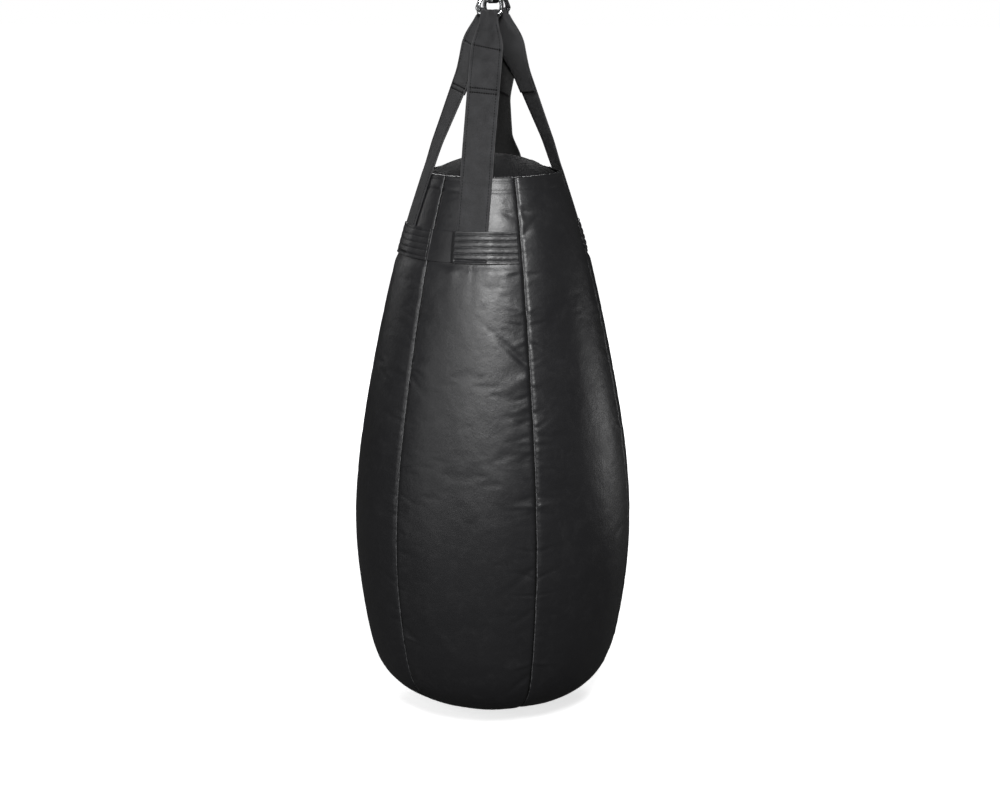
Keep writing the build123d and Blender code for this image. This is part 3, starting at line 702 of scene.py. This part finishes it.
def strap_threads(name):
    web = Webbing(name)
    rows = []
    surface = STRAP_T / 2 - STITCH_DEPTH
    for side in (-1, 1):
        lateral = side * (STRAP_W / 2 - EDGE_INSET)
        share = np.linspace(0, 0.93, 160)
        swing = part_at_loop(share)
        path = web.free(share, lateral, surface + swing)
        out = web.free(share, lateral, surface + swing + 1.0) - path
        rows.append(row_of_threads(path, out, EDGE_PITCH))
        run = np.linspace(run_at_depth(BAND_TOP), 0, 60)
        path = web.foot(run, lateral, surface - 0.15 * MM)
        rows.append(row_of_threads(path, web.foot(run, lateral, 1.0) - path, EDGE_PITCH))
    for row in CROSS_ROWS:
        lateral = np.linspace(-STRAP_W / 2 + 3 * MM, STRAP_W / 2 - 3 * MM, 40)
        at = web.row_share(row, lateral)
        swing = part_at_loop(at)
        # each row is three close lines of densely packed dark stitches: real stitching, made wide to
        # stand for the shade in the row's groove (painted shade)
        for beside in (-0.9 * MM, 0, 0.9 * MM):
            path = web.free(at + beside / web.length, lateral, surface - 1.0 * MM + swing)
            out = web.free(at, lateral, surface + swing + 1.0) - path
            rows.append(row_of_threads(path, out, ROW_PITCH, 0.92))
    fix_to_bag(threads("thread_strap_" + name, rows, 0.5 * MM), "webbing", finish="thread")


# ---- bands
def band_lift(name, lateral, depth):
    """Height of the band's outside over the cover."""
    reach = np.where(lateral > 0, 26, 7) * MM  # it drapes off one edge more softly
    over = ease((STRAP_W / 2 + reach - np.abs(lateral)) / reach)
    lift = 1.5 * MM + over * STRAP_T * 1.05
    from_row = (depth - BAND_TOP) / ROW_HEIGHT - 0.5
    # on the front band the sewn rows begin at the strap's left edge
    sewn = ease((lateral + STRAP_W / 2 + 3 * MM) / (4 * MM)) if name == "front" else 1.0
    channel = np.abs(np.sin(math.pi * from_row))
    padding = 0.5 if name == "left" else 1.0
    lift += padding * sewn * (1.5 * MM * np.sqrt(channel) - 0.9 * MM)
    lift += 0.05 * MM * sewn * waves(lateral, depth * 2, 300 + len(name), 30, 60, 150)
    lift += 0.2 * MM * waves(lateral, depth, 320 + len(name), 14, 8, 25)
    under_end = bump(depth - (BAND_BOTTOM - 3.5 * MM), 2 * MM) * (np.abs(lateral) < STRAP_W / 2)
    return lift - 1.1 * MM * under_end


def band(name):
    azimuth = STRAP_AZIMUTHS[name]
    depth = np.linspace(BAND_TOP, BAND_BOTTOM, 64)
    run = run_at_depth(depth)[:, None]
    r = radius_at(run)
    half = PANEL_ANGLE / 2 * r - 3.2 * MM
    lateral = np.linspace(-1, 1, 170)[None, :] * half
    lift = band_lift(name, lateral, depth[:, None])
    grid = on_cover(azimuth + lateral / r, run, lift)
    fix_to_bag(sheet("patch_strap_" + name, grid, 1.2 * MM), "cover_skin", "band_" + name)


def band_threads(name):
    azimuth = STRAP_AZIMUTHS[name]
    rows = []
    for k in range(BAND_ROWS):
        depth = BAND_TOP + (k + 0.5) * ROW_HEIGHT
        run = run_at_depth(depth)
        r = radius_at(run)
        half = PANEL_ANGLE / 2 * r - 5 * MM
        start = -STRAP_W / 2 if name == "front" else -half
        lateral = np.linspace(start, half, 240)
        path = on_cover(azimuth + lateral / r, run, band_lift(name, lateral, depth))
        out = on_cover(azimuth + lateral / r, run, 1.0) - on_cover(azimuth + lateral / r, run, 0)
        rows.append(row_of_threads(path, out, BAND_PITCH))
    fix_to_bag(threads("thread_band_" + name, rows, 0.4 * MM), "cover_skin")


def hem_threads():
    """Stitch line round the cover just under the rim."""
    azimuth = np.linspace(0, 2 * math.pi, 2400)
    path = on_cover(azimuth, HEM_RUN, -0.35 * MM)
    out = unit(path * [1, 1, 0])
    rows = [row_of_threads(path, out, BAND_PITCH)]
    fix_to_bag(threads("thread_hem", rows, 0.4 * MM), "cover_skin")


# ---- cap and zip
CAP_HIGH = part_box("top_cap")[1]
CAP_R = CAP_HIGH.x
CAP_EDGE_Z = RIM_Z - 6 * MM
ZIP_R = 84 * MM
TOOTH_PITCH = 2.2 * MM


def dome_z(r):
    rise = CAP_HIGH.z - CAP_EDGE_Z
    ball = (CAP_R ** 2 + rise ** 2) / (2 * rise)
    return CAP_HIGH.z - ball + np.sqrt(ball ** 2 - r ** 2)


def zip_span():
    """Azimuths of the zip's two ends."""
    points = node_points("zip_coils")
    azimuths = np.unwrap(np.sort(np.arctan2(points[:, 0], -points[:, 1]) % (2 * math.pi)))
    return azimuths.min(), azimuths.max()


def top_cap():
    """Cloth dome inside the rim, gathered at its edge and slack in the middle."""
    r = np.concatenate([[0.6 * MM], np.linspace(2 * MM, CAP_R, 90)])
    azimuth = circle(360)
    az, rr = np.meshgrid(azimuth, r)
    x, y = np.sin(az) * rr, -np.cos(az) * rr
    start, end = zip_span()
    by_zip = (az > start - 0.12) & (az < end + 0.12)
    calm = np.where(by_zip, ease((np.abs(rr - ZIP_R) - 14 * MM) / (10 * MM)), 1)
    pleat = np.cos(az * 30 + 2.5 * waves(az, az * 0, 61, 6, 0.3, 0.9)) * bump(CAP_R - rr, 22 * MM)
    lift = -0.9 * MM + calm * (0.5 * MM * pleat + 0.8 * MM * waves(x, y, 62, 16, 6, 16))
    lift = np.minimum(lift, 0.6 * MM)
    z = dome_z(rr) + lift
    grid = np.stack([x, y, z], axis=-1)
    fix_to_bag(tube("cap_cloth", grid[::-1]), "cap_cloth", "top_cap")


def zip_teeth():
    """Two interlocked rows of coil teeth along the curved zip."""
    start, end = zip_span()
    count = int((end - start) * ZIP_R / TOOTH_PITCH)
    starts, ends, out = [], [], []
    for k in range(count):
        azimuth = start + (k + 0.5) * (end - start) / count
        side = 1 if k % 2 else -1
        for r, store in ((ZIP_R - side * 0.9 * MM, starts), (ZIP_R + side * 2.0 * MM, ends)):
            height = dome_z(r) + 0.55 * MM
            store.append([math.sin(azimuth) * r, -math.cos(azimuth) * r, height])
        out.append([0, 0, 1])
    teeth = threads("zip_teeth", [(starts, ends, out)], 0.75 * MM)
    fix_to_bag(teeth, "zip_coil", "zip_coils")


# ---- materials
SHARP_ANGLE = math.radians(32)
SMEAR_DARK = 0.75  # smeared metal's colour against clean metal's


def new_material(name, color, rough, metal=0.0, sheen=0.0, shine=0.5):
    mat = bpy.data.materials.new(name)
    mat.use_nodes = True
    shader = mat.node_tree.nodes["Principled BSDF"]
    values = {"Base Color": (*color, 1), "Roughness": rough, "Metallic": metal,
              "Sheen Weight": sheen, "Specular IOR Level": shine}
    for key, value in values.items():
        shader.inputs[key].default_value = value
    return mat, shader


def add_node(mat, kind, **values):
    node = mat.node_tree.nodes.new(kind)
    for key, value in values.items():
        if key in node.inputs:
            node.inputs[key].default_value = value
        else:
            setattr(node, key, value)
    return node


def link(mat, source, target):
    mat.node_tree.links.new(source, target)


def coordinates(mat):
    """Object coordinates in millimetres."""
    where = add_node(mat, "ShaderNodeTexCoord")
    scale = add_node(mat, "ShaderNodeVectorMath", operation="SCALE", Scale=1 / MM)
    link(mat, where.outputs["Object"], scale.inputs[0])
    return scale.outputs[0]


def noise(mat, where, size, detail=3.0, roughness=0.5, distortion=0.0):
    """Noise whose features are about size millimetres."""
    node = add_node(mat, "ShaderNodeTexNoise", Scale=1.0 / size, Detail=detail,
                    Roughness=roughness, Distortion=distortion)
    link(mat, where, node.inputs["Vector"])
    return node.outputs["Fac"]


def ramp(mat, source, low, high, start, end):
    """Maps source from low..high to start..end."""
    limits = {"From Min": low, "From Max": high, "To Min": start, "To Max": end}
    node = add_node(mat, "ShaderNodeMapRange", **limits)
    link(mat, source, node.inputs["Value"])
    return node.outputs["Result"]


def maths(mat, operation, a, b=None):
    node = add_node(mat, "ShaderNodeMath", operation=operation)
    for k, value in enumerate((a, b)):
        if value is None:
            continue
        if isinstance(value, (int, float)):
            node.inputs[k].default_value = value
        else:
            link(mat, value, node.inputs[k])
    return node.outputs[0]


def shifted(mat, where, by):
    node = add_node(mat, "ShaderNodeVectorMath", operation="ADD")
    link(mat, where, node.inputs[0])
    link(mat, by, node.inputs[1])
    return node.outputs[0]


def split_axes(mat, where):
    node = add_node(mat, "ShaderNodeSeparateXYZ")
    link(mat, where, node.inputs[0])
    return node.outputs


def tint(mat, shader, source, dark, light):
    """Base colour between two colours."""
    node = add_node(mat, "ShaderNodeMix", data_type="RGBA")
    node.inputs["A"].default_value = (*dark, 1)
    node.inputs["B"].default_value = (*light, 1)
    link(mat, source, node.inputs["Factor"])
    link(mat, node.outputs["Result"], shader.inputs["Base Color"])


def raise_surface(mat, shader, heights):
    """Chained bumps: a list of (height socket, height in millimetres)."""
    last = None
    for source, height in heights:
        node = add_node(mat, "ShaderNodeBump", Strength=1.0, Distance=height * MM)
        link(mat, source, node.inputs["Height"])
        if last is not None:
            link(mat, last, node.inputs["Normal"])
        last = node.outputs["Normal"]
    link(mat, last, shader.inputs["Normal"])


def skin_material():
    """Black coated hide: fine pebbled grain, satin gloss and scuffs."""
    mat, shader = new_material("cover_skin", (0.012, 0.012, 0.013), 0.42)
    where = coordinates(mat)
    cells = add_node(mat, "ShaderNodeTexVoronoi", feature="SMOOTH_F1", Scale=1 / 1.15,
                     Smoothness=0.35)
    link(mat, shifted(mat, where, noise(mat, where, 3.0, 2)), cells.inputs["Vector"])
    grain = maths(mat, "MULTIPLY", cells.outputs["Distance"], -1.0)
    creases = noise(mat, where, 9.0, 5, 0.62, 0.4)
    patches = noise(mat, where, 70.0, 4, 0.6)
    scuffs = noise(mat, where, 24.0, 8, 0.72, 0.6)
    rough = maths(mat, "ADD", ramp(mat, patches, 0.3, 0.7, 0.36, 0.46),
                  ramp(mat, scuffs, 0.52, 0.72, 0.0, 0.06))
    link(mat, rough, shader.inputs["Roughness"])
    tint(mat, shader, ramp(mat, scuffs, 0.5, 0.75, 0, 1), (0.0105, 0.0105, 0.0115),
         (0.0145, 0.0145, 0.0155))
    raise_surface(mat, shader, [(creases, 0.28), (noise(mat, where, 28, 3), 0.8), (grain, 0.08)])
    return mat


def painted_highlight_edge_material():
    """The same hide painted pale along the seams' folded lips, uneven in patches: a painted
    highlight.
    """
    mat, shader = new_material("painted_highlight_edge", (0.06, 0.06, 0.062), 0.45)
    where = coordinates(mat)
    highlight_patches = noise(mat, where, 6, 6, 0.7)
    tint(mat, shader, ramp(mat, highlight_patches, 0.35, 0.65, 0, 1), (0.015, 0.015, 0.016), (0.085, 0.085, 0.088))
    link(mat, ramp(mat, highlight_patches, 0.3, 0.7, 0.35, 0.55), shader.inputs["Roughness"])
    raise_surface(mat, shader, [(highlight_patches, 0.4), (noise(mat, where, 1.2, 3), 0.12)])
    return mat


def thread_material():
    """Dark waxed sewing thread."""
    mat, shader = new_material("thread", (0.004, 0.004, 0.004), 0.8, shine=0.1)
    where = coordinates(mat)
    lay = noise(mat, where, 0.5, 4, 0.7)
    tint(mat, shader, ramp(mat, lay, 0.3, 0.7, 0, 1), (0.002, 0.002, 0.002), (0.006, 0.006, 0.006))
    link(mat, ramp(mat, lay, 0.3, 0.7, 0.5, 0.75), shader.inputs["Roughness"])
    raise_surface(mat, shader, [(lay, 0.1)])
    return mat


def weave_height(mat, where, pitch_across, pitch_along):
    """Diagonal rib of a heavy webbing in object space."""
    axes = split_axes(mat, where)
    round_axis = maths(mat, "ARCTAN2", axes["Y"], axes["X"])
    across = maths(mat, "MULTIPLY", round_axis, 100 * 2 * math.pi / pitch_across)
    along = maths(mat, "MULTIPLY", axes["Z"], 2 * math.pi / pitch_along)
    warp = maths(mat, "SINE", maths(mat, "ADD", across, along))
    weft = maths(mat, "SINE", maths(mat, "SUBTRACT", across, along))
    return maths(mat, "MULTIPLY", warp, weft)


def webbing_material(name, dark, light):
    """Black polypropylene webbing: matte, ribbed and dusty."""
    mat, shader = new_material(name, dark, 0.75, sheen=0.03, shine=0.4)
    shader.inputs["Sheen Roughness"].default_value = 0.4
    where = coordinates(mat)
    fuzz = noise(mat, where, 0.9, 4, 0.7)
    dust = noise(mat, where, 18, 5, 0.65)
    tint(mat, shader, ramp(mat, maths(mat, "ADD", fuzz, dust), 0.8, 1.25, 0, 1), dark, light)
    link(mat, ramp(mat, dust, 0.3, 0.7, 0.62, 0.85), shader.inputs["Roughness"])
    raise_surface(mat, shader, [(weave_height(mat, where, 2.4, 2.2), 0.22), (fuzz, 0.18),
                                (noise(mat, where, 14, 3), 0.6)])
    return mat


def cloth_material(name, dark, light, pitch, rough=0.8, sheen=0.3, shine=0.3):
    """Plain woven cloth with a crossed thread pattern."""
    mat, shader = new_material(name, dark, rough, sheen=sheen, shine=shine)
    where = coordinates(mat)
    axes = split_axes(mat, where)
    rate = 2 * math.pi / pitch
    threads_x = maths(mat, "SINE", maths(mat, "MULTIPLY", axes["X"], rate))
    height = maths(mat, "ADD", axes["Y"], axes["Z"])
    threads_y = maths(mat, "SINE", maths(mat, "MULTIPLY", height, rate))
    weave = maths(mat, "MULTIPLY", threads_x, threads_y)
    fuzz = noise(mat, where, 0.8, 4, 0.7)
    stains = noise(mat, where, 40, 5, 0.6)
    tint(mat, shader, ramp(mat, maths(mat, "ADD", fuzz, stains), 0.75, 1.25, 0, 1), dark, light)
    link(mat, ramp(mat, stains, 0.3, 0.7, rough - 0.1, rough + 0.08), shader.inputs["Roughness"])
    raise_surface(mat, shader, [(weave, 0.15), (fuzz, 0.15), (noise(mat, where, 12, 3), 0.5)])
    return mat


def metal_material(name, color, rough, brushed, pits):
    """Plated or bare metal with fine brushing, small pits and smears."""
    mat, shader = new_material(name, color, rough, metal=1.0)
    where = coordinates(mat)
    smears = noise(mat, where, 7, 5, 0.6, 0.5)
    fine = noise(mat, where, 0.5, 6, 0.75)
    rough_at = maths(mat, "ADD", ramp(mat, smears, 0.35, 0.7, rough * 0.7, rough * 1.5),
                     ramp(mat, fine, 0.45, 0.8, 0.0, brushed))
    link(mat, rough_at, shader.inputs["Roughness"])
    tint(mat, shader, ramp(mat, smears, 0.4, 0.75, 0, 1), color,
         tuple(c * SMEAR_DARK for c in color))
    raise_surface(mat, shader, [(fine, pits), (noise(mat, where, 2.5, 3), pits * 1.5)])
    return mat


def foam_material():
    """Open-cell padding: small holes and crumbs."""
    mat, shader = new_material("foam", (0.07, 0.07, 0.075), 0.95)
    where = coordinates(mat)
    cells = add_node(mat, "ShaderNodeTexVoronoi", Scale=1 / 1.6)
    link(mat, where, cells.inputs["Vector"])
    tint(mat, shader, ramp(mat, cells.outputs["Distance"], 0.1, 0.7, 0, 1),
         (0.03, 0.03, 0.033), (0.10, 0.10, 0.11))
    raise_surface(mat, shader, [(cells.outputs["Distance"], 0.7), (noise(mat, where, 8, 4), 0.8)])
    return mat


def textile_material():
    """Packed rag shreds of many dull colours."""
    mat, shader = new_material("shredded_textile", (0.2, 0.2, 0.22), 0.95, sheen=0.4)
    where = coordinates(mat)
    shreds = add_node(mat, "ShaderNodeTexVoronoi", Scale=1 / 14.0)
    stir = maths(mat, "MULTIPLY", noise(mat, where, 10, 4), 24.0)
    link(mat, shifted(mat, where, stir), shreds.inputs["Vector"])
    mixed = add_node(mat, "ShaderNodeMix", data_type="RGBA")
    mixed.inputs["Factor"].default_value = 0.75
    mixed.inputs["B"].default_value = (0.16, 0.16, 0.19, 1)
    link(mat, shreds.outputs["Color"], mixed.inputs["A"])
    link(mat, mixed.outputs["Result"], shader.inputs["Base Color"])
    raise_surface(mat, shader, [(shreds.outputs["Distance"], 3.0), (noise(mat, where, 1.2, 4), 0.4)])
    return mat


def tooth_material():
    """Glossy black moulded coil."""
    mat, shader = new_material("zip_coil", (0.015, 0.015, 0.015), 0.35)
    where = coordinates(mat)
    fine = noise(mat, where, 0.7, 3)
    link(mat, ramp(mat, fine, 0.3, 0.7, 0.28, 0.45), shader.inputs["Roughness"])
    raise_surface(mat, shader, [(fine, 0.05)])
    return mat


def make_materials():
    chrome = (0.78, 0.79, 0.80)
    return {
        "cover_skin": skin_material(),
        # painted highlight for the seams' folded lips
        "painted_highlight_edge": painted_highlight_edge_material(),
        # dark thread; the same colour also serves the seams' dark cords, which are a painted shadow
        "thread": thread_material(),
        "webbing": webbing_material("webbing", (0.013, 0.013, 0.014), (0.034, 0.034, 0.036)),
        # pale edge webbing: partly rubbed wear, partly a painted highlight
        "rubbed_webbing": webbing_material("rubbed_webbing", (0.02, 0.02, 0.021),
                                           (0.055, 0.055, 0.057)),
        # near-black copy of the webbing for the rear strap: painted shade, not a different webbing
        "fresh_webbing": webbing_material("fresh_webbing", (0.002, 0.002, 0.002),
                                          (0.005, 0.005, 0.005)),
        "cap_cloth": cloth_material("cap_cloth", (0.008, 0.008, 0.0085), (0.017, 0.017, 0.018), 1.1,
                                    sheen=0.0, shine=0.08),
        "zip_tape": cloth_material("zip_tape", (0.012, 0.012, 0.012), (0.026, 0.026, 0.027), 0.8),
        "liner_cloth": cloth_material("liner_cloth", (0.30, 0.29, 0.26), (0.42, 0.41, 0.37), 1.6),
        "pouch_cloth": cloth_material("pouch_cloth", (0.20, 0.15, 0.09), (0.33, 0.26, 0.17), 2.2),
        "foam": foam_material(),
        "shredded_textile": textile_material(),
        "zip_coil": tooth_material(),
        "zip_metal": metal_material("zip_metal", (0.10, 0.10, 0.105), 0.32, 0.12, 0.03),
        "forged_steel": metal_material("forged_steel", chrome, 0.16, 0.1, 0.05),
        "bright_steel": metal_material("bright_steel", chrome, 0.10, 0.06, 0.02),
        "bearing_steel": metal_material("bearing_steel", (0.6, 0.6, 0.61), 0.12, 0.05, 0.01),
        "spring_steel": metal_material("spring_steel", (0.45, 0.45, 0.46), 0.25, 0.1, 0.03),
        "brass_cage": metal_material("brass_cage", (0.62, 0.43, 0.16), 0.25, 0.1, 0.03),
    }


def dress_frame(materials):
    """Gives every piece and every carried-over CAD node the material of its slot."""
    for obj in bpy.context.scene.objects:
        name = obj.get("finish") or obj.get("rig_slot")
        if name:
            obj.data.materials.clear()
            obj.data.materials.append(materials[name])
    for obj in frame["nodes"].values():
        used = [s.material.name.split(".")[0] for s in obj.material_slots if s.material]
        for place in obj.material_slots:
            place.material = materials[used[0] if used else "forged_steel"]
        smooth_by_angle(obj)


def smooth_by_angle(obj):
    """Marks sharp edges, so that curved metal shades smoothly."""
    mesh = obj.data
    mesh.polygons.foreach_set("use_smooth", [True] * len(mesh.polygons))
    mesh.set_sharp_from_angle(angle=SHARP_ANGLE)


# ---- floor, light and camera
def floor():
    """Pale seamless floor under the hanging bag, which also fills the background."""
    low = cad_low.z - FLOOR_GAP
    corners = ((-1, -1), (1, -1), (1, 1), (-1, 1))
    points = [(x * FLOOR_HALF, y * FLOOR_HALF, low) for x, y in corners]
    obj = mesh_object("floor", points, [(0, 1, 2, 3)], smooth=False)
    mat, shader = new_material("floor_paint", (0.86, 0.86, 0.86), 0.9)
    where = coordinates(mat)
    away = add_node(mat, "ShaderNodeVectorMath", operation="LENGTH")
    link(mat, where, away.inputs[0])
    near = ramp(mat, away.outputs["Value"], 1600, 3000, FLOOR_GLOW, 1.0)
    path = add_node(mat, "ShaderNodeLightPath")
    seen = path.outputs["Is Camera Ray"]
    tint(mat, shader, seen, (FLOOR_BOUNCE,) * 3, (0.86, 0.86, 0.86))
    shader.inputs["Emission Color"].default_value = (1, 1, 1, 1)
    link(mat, maths(mat, "MULTIPLY", near, seen), shader.inputs["Emission Strength"])
    obj.data.materials.append(mat)


def softbox(name, azimuth, distance, height, width, tall, power, aim_z):
    """A rectangular soft light at an azimuth round the bag, aimed at its axis."""
    light = bpy.data.lights.new(name, "AREA")
    light.shape = "RECTANGLE"
    light.size = width
    light.size_y = tall
    light.energy = power
    obj = add_object(name, light)
    angle = math.radians(azimuth)
    obj.location = (math.sin(angle) * distance, -math.cos(angle) * distance, height)
    aim = Vector((0, 0, aim_z)) - obj.location
    obj.rotation_euler = aim.to_track_quat("-Z", "Y").to_euler()


def studio():
    world = bpy.data.worlds.new("studio")
    world.use_nodes = True
    tree = world.node_tree
    sky = tree.nodes["Background"]
    path = tree.nodes.new("ShaderNodeLightPath")
    level = tree.nodes.new("ShaderNodeMapRange")
    level.inputs["To Min"].default_value = WORLD_DIM
    level.inputs["To Max"].default_value = WORLD_SEEN
    tree.links.new(path.outputs["Is Camera Ray"], level.inputs["Value"])
    tree.links.new(level.outputs["Result"], sky.inputs["Strength"])
    sky.inputs["Color"].default_value = (1, 1, 1, 1)
    bpy.context.scene.world = world
    for light in LIGHTS:
        softbox(*light)


FLOOR_GAP = 22 * MM  # the bag hangs just clear of the floor
FLOOR_HALF = 60  # metres from its middle to its edges
FLOOR_GLOW = 0.72  # the floor's own light under the bag, for the camera only
FLOOR_BOUNCE = 0.04  # how pale the floor is to the bag's reflections
WORLD_SEEN = 1.0  # the background as the camera sees it
WORLD_DIM = 0.05  # and as it lights the bag
# name, azimuth degrees, distance, height, width, tall, watts, height it is aimed at
LIGHTS = [
    ("key_softbox", 16, 2.4, 0.85, 0.55, 0.8, 95, -0.65),
    ("front_fill", -8, 2.8, 0.1, 1.8, 1.0, 25, -0.85),
    ("left_fill", -42, 2.8, -0.45, 1.1, 1.9, 9, -0.85),
    ("left_softbox", -112, 2.6, 0.2, 0.5, 1.6, 5, -0.8),
    ("right_softbox", 122, 2.6, -1.15, 0.5, 0.7, 6, -1.05),
    ("rear_softbox", 195, 2.8, 0.9, 1.0, 1.2, 45, -0.75),
]

CAMERA_AZIMUTH = math.radians(12.5)
CAMERA_AWAY = 2.670  # metres from the bag's axis, level
CAMERA_ABOVE_RIM = 0.271
CAMERA_PITCH = math.radians(13.5)
CAMERA_LENS = 60.48
CAMERA_SHIFT = 0.007


def camera():
    data = bpy.data.cameras.new("camera")
    data.lens = CAMERA_LENS
    data.sensor_width = 36
    data.shift_x = CAMERA_SHIFT
    data.clip_end = 200
    obj = add_object("camera", data)
    obj.location = (math.sin(CAMERA_AZIMUTH) * CAMERA_AWAY,
                    -math.cos(CAMERA_AZIMUTH) * CAMERA_AWAY, RIM_Z + CAMERA_ABOVE_RIM)
    obj.rotation_euler = (math.pi / 2 - CAMERA_PITCH, 0, CAMERA_AZIMUTH)
    bpy.context.scene.camera = obj


# ---- everything together
def build():
    settled = settle_cover()
    for index, panel in enumerate(PANELS):
        cover_panel(panel, index, settled)
    seam_welts()
    bottom_patch()
    rim_lip()
    hem_threads()
    for name in STRAPS:
        strap(name)
        selvedges(name)
        strap_threads(name)
        band(name)
        band_threads(name)
    top_cap()
    zip_teeth()
    dress_frame(make_materials())
    floor()
    studio()
    camera()


build()
bpy.context.scene.view_settings.view_transform = "Standard"
bpy.context.view_layer.update()
